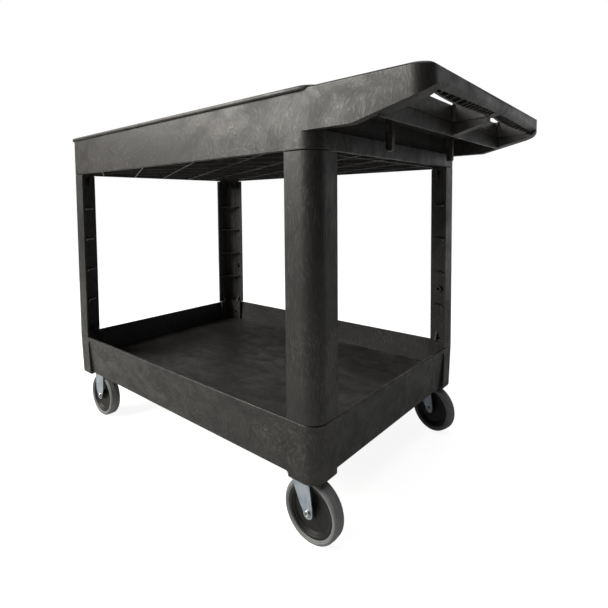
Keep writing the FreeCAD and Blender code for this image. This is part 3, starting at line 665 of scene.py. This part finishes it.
@dataclass
class Caster:
    """Everything under one corner, drawn about its wheel centre with the axle along Y.

    Sizes are in millimetres. The place and the rest angle of every piece come from the wheel's own joint.
    """

    finishes: Finishes
    prefix: str
    swivel: bool
    wheel_r: float = 62.5
    tread_half: float = 15.0
    leg_in: float = 17.0
    leg_t: float = 2.5
    trail: float = 34.0
    sweep: float = 26.4  # foremost point of the fork that turns inside the shelf's corner
    crown_top: float = 69.5  # upper face of the fork's crown, above the wheel centre
    race_height: float = 13.5  # from the crown's upper face to the rim of the race cup
    flange_under: float = 91.5  # underside of the rigid bracket's flange, above the wheel centre
    flange_t: float = 3.0
    eye_r: float = 11.0  # round end of a leg, about the axle
    mark_ring: float = 28.0  # ejector marks, from the hub's axis
    plate_size: Point2 = (84.0, 52.0)
    hole_at: Point2 = (33.0, 17.0)
    sheet_bend: float = 5.0

    def joint(self, kind: str) -> dict:
        """Finds one of this caster's joints, by the last word of its name."""
        return next(j for j in frame["joints"] if j["name"] == f"{self.prefix}_{kind}")

    def body(self, node: str) -> str:
        """Finds the body that carries a CAD node."""
        bodies = frame["record"]["behaviour"]["bodies"]
        return next(name for name, nodes in bodies.items() if node in nodes)

    def place(self, piece: bpy.types.Object, part: str, slot: str, finish: bpy.types.Material) -> str:
        """Args:
            piece: Piece to place; its name becomes the part's with "_made" after it.
            part: Last words of the CAD node that it stands for.
            slot: Material slot of the record; not used.
            finish: Finish to show.

        Returns:
            The piece's name.
        """
        roll = self.joint("roll")
        along = Vector(roll["axis"])
        yaw = math.atan2(-along.x, along.y)
        piece.data.transform(Matrix.Translation(roll["pos_m"]) @ Matrix.Rotation(yaw, 4, "Z"))
        node = f"{self.prefix}_{part}"
        piece.name = f"{node}_made"
        piece.data.name = piece.name
        dress(piece, finish)
        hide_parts(node)
        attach(piece, self.body(node))
        return piece.name

    def tyre(self) -> str:
        """Builds the tread: flat sidewall, round shoulders and the fine seam that the mould halves leave."""
        r, h = self.wheel_r, self.tread_half
        half = [(53.0, 7.0, 0), (51.0, 9.0, 0.5), (51.1, 12.2, 0.5), (52.6, 13.9, 0.9), (54.4, 14.2, 0.5)]
        half += [(55.0, h, 0.5), (58.4, h, 2.6), (r - 0.5, 10.8, 4.5), (r - 0.25, 0.7, 0), (r, 0.3, 0)]
        mirrored = [(a, -b, c) for a, b, c in reversed(half)]
        tread = lathe("tyre", rounded(half + mirrored, closed=True))
        return self.place(tread, "tyre", "grey_tyre", self.finishes.tyre)

    def hub(self) -> str:
        """Builds the hub: boss, flat web, two stepped rings and the seat that grips the tread."""
        half = [(7.5, 15.2, 0.3), (11.5, 15.2, 1.2), (13.2, 6.6, 1.0), (14.8, 5.2, 1.2), (40.3, 5.2, 1.4)]
        half += [(42.2, 9.2, 1.0), (44.4, 9.6, 0.8), (45.8, 12.6, 0.9), (49.4, 12.9, 0.8), (50.9, 11.4, 0.4)]
        half += [(50.9, 9.0, 0), (52.9, 7.0, 0)]
        mirrored = [(a, -b, c) for a, b, c in reversed(half)]
        body = lathe("hub", rounded(half + mirrored, closed=True))
        marks = []
        for side in (-1, 1):
            for k in range(6):
                disc = [(0.0, 5.0), (3.0, 5.0), (3.0, 5.35), (2.7, 5.55), (0.0, 5.55)]
                mark = lathe("ejector_mark", [(a, side * b) for a, b in disc], 24, closed=False)
                angle = k * math.pi / 3
                spot = Vector((self.mark_ring * math.cos(angle), 0, self.mark_ring * math.sin(angle))) * MM
                mark.data.transform(Matrix.Translation(spot))
                marks.append(mark)
        return self.place(join("hub", [body, *marks]), "wheel_hub", "hub_plastic", self.finishes.hub)

    def axle(self) -> list[str]:
        """Builds the axle bolt, with a domed socket head, and its lock nut on the threaded end."""
        out = self.leg_in + self.leg_t
        head = [(0.0, -out - 1.2), (2.9, -out - 1.2), (2.9, -out - 3.5), (3.4, -out - 4.0), (4.9, -out - 3.8)]
        head += [(6.2, -out - 3.0), (6.9, -out - 1.6), (7.0, -out), (5.0, -out), (5.0, out + 4.0)]
        thread = [(4.6 + 0.4 * (k % 2), out + 4.4 + 0.4 * k) for k in range(14)]
        tip = [(3.8, out + 10.6), (0.0, out + 10.6)]
        bolt = lathe("bolt", head + thread + tip, closed=False, hexed=(1, 2))
        nut = [(5.02, out), (9.7, out), (10.0, out + 0.3), (10.0, out + 0.9), (9.6, out + 1.2)]
        nut += [(7.4, out + 1.2), (8.2, out + 1.7), (8.2, out + 6.6), (7.1, out + 7.4)]
        nut += [(6.3, out + 7.6), (6.1, out + 8.8)]
        nut += [(5.4, out + 9.0), (5.02, out + 9.0)]
        lock = lathe("nut", nut, hexed=(6, 7))
        return [
            self.place(bolt, "axle_bolt", "zinc_bolt", self.finishes.bolt),
            self.place(lock, "axle_nut", "zinc_bolt", self.finishes.bolt),
        ]

    def channel(self, z_top: float, x0: float, x1: float) -> bpy.types.Object:
        """Bends one strip of sheet into an upside-down U, which both legs are cut from.

        Args:
            z_top: Upper face of the U above the wheel centre.
            x0: One end of the strip.
            x1: Other end of the strip.

        Returns:
            The bent strip.
        """
        out, inn, foot = self.leg_in + self.leg_t, self.leg_in, -14.0
        bend = self.sheet_bend
        section = [(-out, foot, 0), (-out, z_top, bend), (out, z_top, bend), (out, foot, 0), (inn, foot, 0)]
        under, inner_bend = z_top - self.leg_t, bend - self.leg_t
        section += [(inn, under, inner_bend), (-inn, under, inner_bend), (-inn, foot, 0)]
        ring = rounded(section, closed=True, steps=7)
        count = len(ring)
        verts = [Vector((x, y, z)) * MM for x in (x0, x1) for y, z in ring]
        faces: list[tuple[int, ...]] = [tuple(range(count)), tuple(range(2 * count - 1, count - 1, -1))]
        faces += [(i, (i + 1) % count, count + (i + 1) % count, count + i) for i in range(count)]
        return mesh_object("channel", verts, faces)

    def pressed(self, outline: list[Point2], z_top: float, fold_x: float | None) -> bpy.types.Object:
        """Cuts both legs to their outline, drills the axle hole and folds the rear wings in.

        Args:
            outline: Side view of the legs, round the wheel centre.
            z_top: Upper face of the U.
            fold_x: Where the rear wing starts to lean inward, or None for flat legs.

        Returns:
            The pressed piece.
        """
        xs = [x for x, _ in outline]
        body = self.channel(z_top, min(xs) - 1, max(xs) + 1)
        combine(body, plate("outline", outline, -30.0, 30.0, bevel=0.0), "INTERSECT")
        hole = [(5.1, -30.0), (5.1, 30.0), (0.0, 30.0), (0.0, -30.0)]
        combine(body, lathe("hole", hole, 48, closed=False), "DIFFERENCE")
        if fold_x is not None:
            self.fold(body, fold_x, z_top)
        soften(body, 0.45, 2, 50.0)
        body.data.set_sharp_from_angle(angle=math.radians(9.0))
        return body

    def fold(self, body: bpy.types.Object, fold_x: float, z_top: float) -> None:
        """Leans the rear wing of both legs inward along a straight crease.

        Args:
            body: Pressed piece.
            fold_x: Place of the crease.
            z_top: Upper face, which stays flat.
        """
        start, full, lean = z_top - 9.0, z_top - 22.0, math.tan(math.radians(13.0))
        work = bmesh.new()
        work.from_mesh(body.data)
        crease = ((fold_x, 0, 0), (1, 0, 0))
        for spot, normal in (crease, ((0, 0, start), (0, 0, 1)), ((0, 0, full), (0, 0, 1))):
            geometry = [*work.verts, *work.edges, *work.faces]
            bmesh.ops.bisect_plane(work, geom=geometry, plane_co=Vector(spot) * MM, plane_no=normal)
        for vert in work.verts:
            x, y, z = vert.co / MM
            if x < fold_x and z < start:
                grown = min(1.0, (start - z) / (start - full))
                vert.co.y -= math.copysign((fold_x - x) * lean * grown * MM, y)
        work.to_mesh(body.data)
        work.free()

    def leg_outline(self, from_degrees: int, rest: list[tuple[float, float, float]]) -> list[Point2]:
        """Draws the side view of a leg: its round eye, then the rounded corners above it.

        Args:
            from_degrees: Angle of the eye's first point.
            rest: Corners above the eye, each with its rounding radius.

        Returns:
            The outline round the wheel centre.
        """
        angles = (math.radians(from_degrees + 15 * k) for k in range(11))
        eye = [(self.eye_r * math.cos(a), self.eye_r * math.sin(a)) for a in angles]
        ends = (eye[-1][0], eye[-1][1], 0), (eye[0][0], eye[0][1], 0)
        return eye + rounded([ends[0], *rest, ends[1]], False)[1:-1]

    def fork(self) -> str:
        """Builds the swivel fork: bent crown with its race cup, and two raked legs with a creased wing."""
        top, t = self.crown_top, self.trail
        rest = [(10.6, 12.5, 4), (4.6, 52.5, 3), (self.sweep - t, 64.5, 2), (self.sweep - 4 - t, top + 1, 0)]
        rest += [(-20 - t, top + 1, 0), (-20 - t, 66.5, 3), (-13.5 - t, 57.5, 6), (-10.4, 0.5, 6)]
        body = self.pressed(self.leg_outline(-150, rest), top, 15.0 - t)
        rim = top + self.race_height
        cup = [(6.1, top - 4.3), (18.0, top - 4.3), (23.2, top - 0.8), (24.0, top), (23.8, top + 2.0)]
        cup += [(22.4, rim - 0.7), (21.6, rim), (19.6, rim), (18.6, rim - 1.1), (15.4, rim - 1.1)]
        cup += [(14.4, rim), (6.1, rim)]
        race = lathe("race", cup)
        race.data.transform(Matrix.Translation((-t * MM, 0, 0)) @ Matrix.Rotation(math.radians(90), 4, "X"))
        return self.place(join("fork", [body, race]), "fork", "zinc_sheet", self.finishes.sheet)

    def bracket(self) -> str:
        """Builds the rigid bracket: flange with four holes, two straight legs and a rounded rib on each."""
        top = self.flange_under
        rest = [(20.5, 21.5, 8), (22, 59.5, 20), (24.5, top + 1, 0), (-24.5, top + 1, 0), (-23, 59.5, 20)]
        rest += [(-21, 17.5, 8)]
        body = self.pressed(self.leg_outline(-165, rest), top, None)
        wide, deep = self.plate_size[0] / 2, self.plate_size[1] / 2
        square = [(wide, deep, 5), (-wide, deep, 5), (-wide, -deep, 5), (wide, -deep, 5)]
        flat = plate("flange", rounded(square, closed=True), 0.0, self.flange_t, bevel=0.0)
        lift = Matrix.Translation((0, 0, (top + self.flange_t) * MM))
        flat.data.transform(lift @ Matrix.Rotation(math.radians(-90), 4, "X"))
        for sx in (-1, 1):
            for sy in (-1, 1):
                drill = lathe("drill", [(4.2, -9.0), (4.2, 9.0), (0.0, 9.0), (0.0, -9.0)], 32, closed=False)
                spot = Vector((sx * self.hole_at[0], sy * self.hole_at[1], top + self.flange_t / 2)) * MM
                drill.data.transform(Matrix.Translation(spot) @ Matrix.Rotation(math.radians(90), 4, "X"))
                combine(flat, drill, "DIFFERENCE")
        soften(flat, 0.4)
        ribs = [self.rib(side) for side in (-1, 1)]
        return self.place(join("bracket", [body, flat, *ribs]), "bracket", "zinc_sheet", self.finishes.sheet)

    def rib(self, side: int) -> bpy.types.Object:
        """Builds the stamped stiffening rib on one leg of the rigid bracket, swelling from the sheet."""
        out, steps, rows = self.leg_in + self.leg_t, 10, 14
        verts, faces = [], []
        for i in range(rows + 1):
            u = i / rows
            z, half = 33.5 + 52.0 * u, 9.5 + 2.0 * u
            for k in range(steps + 1):
                v = 2 * k / steps - 1
                swell = 1.5 * (1 - v * v) * math.sin(math.pi * u) ** 0.5 if 0 < u < 1 else 0.0
                verts.append(Vector((half * v, side * (out - 0.05 + swell), z)) * MM)
        for i in range(rows):
            for k in range(steps):
                a = i * (steps + 1) + k
                faces.append((a, a + 1, a + steps + 2, a + steps + 1))
        return mesh_object("rib", verts, faces)

    def build(self) -> list[str]:
        """Builds the made pieces, dresses the CAD pieces that stay, and returns their names."""
        names = [self.tyre(), self.hub(), *self.axle(), self.fork() if self.swivel else self.bracket()]
        kept = {
            "plate": self.finishes.sheet,
            "race_balls": self.finishes.ball,
            "kingpin": self.finishes.bolt,
            "plate_bolts": self.finishes.bolt,
            "bushing": self.finishes.nylon,
        }
        for part, finish in kept.items():
            node = f"{self.prefix}_{part}"
            if node in frame["nodes"]:
                dress_node(node, finish)
                names.append(node)
        return names


# ------------------------------------------------------------------------------------------------
# studio
# ------------------------------------------------------------------------------------------------
@dataclass
class Softbox:
    """One large studio light, aimed at a point."""

    name: str
    place: tuple[float, float, float]
    aim: tuple[float, float, float]
    size: Point2
    watts: float
    colour: str = "#ffffff"

    def build(self) -> bpy.types.Object:
        """Builds the light."""
        data = bpy.data.lights.new(self.name, "AREA")
        data.shape = "RECTANGLE"
        data.size, data.size_y = self.size
        data.energy = self.watts
        data.color = linear(self.colour)[:3]
        made = bpy.data.objects.new(self.name, data)
        made.location = self.place
        made.rotation_euler = (Vector(self.aim) - Vector(self.place)).to_track_quat("-Z", "Y").to_euler()
        bpy.context.scene.collection.objects.link(made)
        return made


@dataclass
class Studio:
    """Pale floor, a low white backdrop behind the cart and two softboxes in an otherwise dark room."""

    floor_half: float = 3.0
    room: float = 0.07
    backdrop: float = 0.75
    backdrop_facing: tuple[float, float, float] = (-0.25, 0.97, 0.0)
    floor_glow: float = 0.1
    lights: tuple[Softbox, ...] = (
        Softbox("key_front", (-1.75, -2.4, 2.2), (0.0, -0.2, 0.5), (2.2, 1.7), 185.0, "#fffcf6"),
        Softbox("over_grip", (0.72, -0.1, 2.7), (0.55, 0.0, 0.8), (1.1, 1.1), 26.0),
    )

    def floor(self) -> None:
        """Builds the floor: even and pale, with soft shadows where the cart stands."""
        half = self.floor_half
        signs = ((-1, -1), (1, -1), (1, 1), (-1, 1))
        corners = [Vector((sx * half, sy * half, 0.0)) for sx, sy in signs]
        floor = mesh_object("floor", corners, [(0, 1, 2, 3)])
        material, tree, shader = new_material("white_painted_floor")
        seen = add_node(tree, "ShaderNodeLightPath").outputs["Is Camera Ray"]
        glow = {"Value": seen, "To Min": self.floor_glow, "To Max": 0.9}
        strength = add_node(tree, "ShaderNodeMapRange", inputs=glow).outputs[0]
        tree.links.new(strength, shader.inputs["Emission Strength"])
        shader.inputs["Emission Color"].default_value = linear("#ffffff")
        shader.inputs["Base Color"].default_value = linear("#b9b9b7")
        shader.inputs["Roughness"].default_value = 0.9
        shader.inputs["Specular IOR Level"].default_value = 0.0
        dress(floor, material)

    def surround(self) -> None:
        """Builds the world: dark room, low backdrop, and plain white behind the cart."""
        world = bpy.data.worlds.new("surround")
        world.use_nodes = True
        air = world.node_tree
        way = add_node(air, "ShaderNodeTexCoord").outputs["Generated"]
        facing = {0: way, 1: self.backdrop_facing}
        toward = add_node(air, "ShaderNodeVectorMath", {"operation": "DOT_PRODUCT"}, facing).outputs["Value"]
        high = add_node(air, "ShaderNodeSeparateXYZ", inputs={0: way}).outputs["Z"]
        smooth = {"interpolation_type": "SMOOTHSTEP"}
        wide = {"Value": toward, "From Min": 0.25, "From Max": 0.8}
        low = {"Value": high, "From Min": 0.42, "From Max": 0.2}
        across = add_node(air, "ShaderNodeMapRange", smooth, wide).outputs[0]
        under = add_node(air, "ShaderNodeMapRange", smooth, low).outputs[0]
        sheet = add_node(air, "ShaderNodeMath", {"operation": "MULTIPLY"}, {0: across, 1: under}).outputs[0]
        lit = {0: sheet, 1: self.backdrop, 2: self.room}
        power = add_node(air, "ShaderNodeMath", {"operation": "MULTIPLY_ADD"}, lit).outputs[0]
        seen = add_node(air, "ShaderNodeLightPath").outputs["Is Camera Ray"]
        either = {"Factor": seen, "A": power, "B": 1.0}
        strength = add_node(air, "ShaderNodeMix", inputs=either).outputs[0]
        air.links.new(strength, air.nodes["Background"].inputs["Strength"])
        air.nodes["Background"].inputs["Color"].default_value = linear("#ffffff")
        bpy.context.scene.world = world

    def build(self) -> None:
        """Builds the floor, the surround and the lights."""
        self.floor()
        self.surround()
        for light in self.lights:
            light.build()


@dataclass
class ViewCamera:
    """Camera off the handle corner, a little below the top shelf."""

    place: tuple[float, float, float] = (0.8362, -0.9317, 0.6424)
    azimuth: float = 41.23
    elevation: float = 3.16
    roll: float = -0.61
    lens: float = 26.49
    shift: Point2 = (0.0294, -0.1240)

    def build(self) -> None:
        """Builds the camera and makes it the scene's own."""
        a, e, r = (math.radians(v) for v in (self.azimuth, self.elevation, self.roll))
        right = Vector((math.cos(a), math.sin(a), 0.0))
        back = Vector((math.sin(a) * math.cos(e), -math.cos(a) * math.cos(e), math.sin(e)))
        up = back.cross(right)
        tilted = right * math.cos(r) + up * math.sin(r)
        upright = up * math.cos(r) - right * math.sin(r)
        data = bpy.data.cameras.new("view")
        data.lens = self.lens
        data.sensor_width = 36.0
        data.shift_x, data.shift_y = self.shift
        camera = bpy.data.objects.new("view", data)
        turned = Matrix((tilted, upright, back)).transposed().to_4x4()
        camera.matrix_world = Matrix.Translation(self.place) @ turned
        bpy.context.scene.collection.objects.link(camera)
        bpy.context.scene.camera = camera


def main() -> None:
    """Builds the cart's looks in order, then the studio and the camera."""
    logging.basicConfig(level=logging.INFO, format="%(name)s: %(message)s")
    finishes = Finishes()
    builders = [Mouldings(finishes)]
    for prefix in ("rigid_near", "rigid_far", "swivel_near", "swivel_far"):
        builders.append(Caster(finishes, prefix, prefix.startswith("swivel")))
    for builder in builders:
        for piece in builder.build():
            LOG.info("%s: %s", type(builder).__name__, piece)
    Studio().build()
    ViewCamera().build()
    bpy.context.scene.view_settings.view_transform = "Standard"
    bpy.context.scene.view_settings.look = "None"


if __name__ == "__main__":
    main()
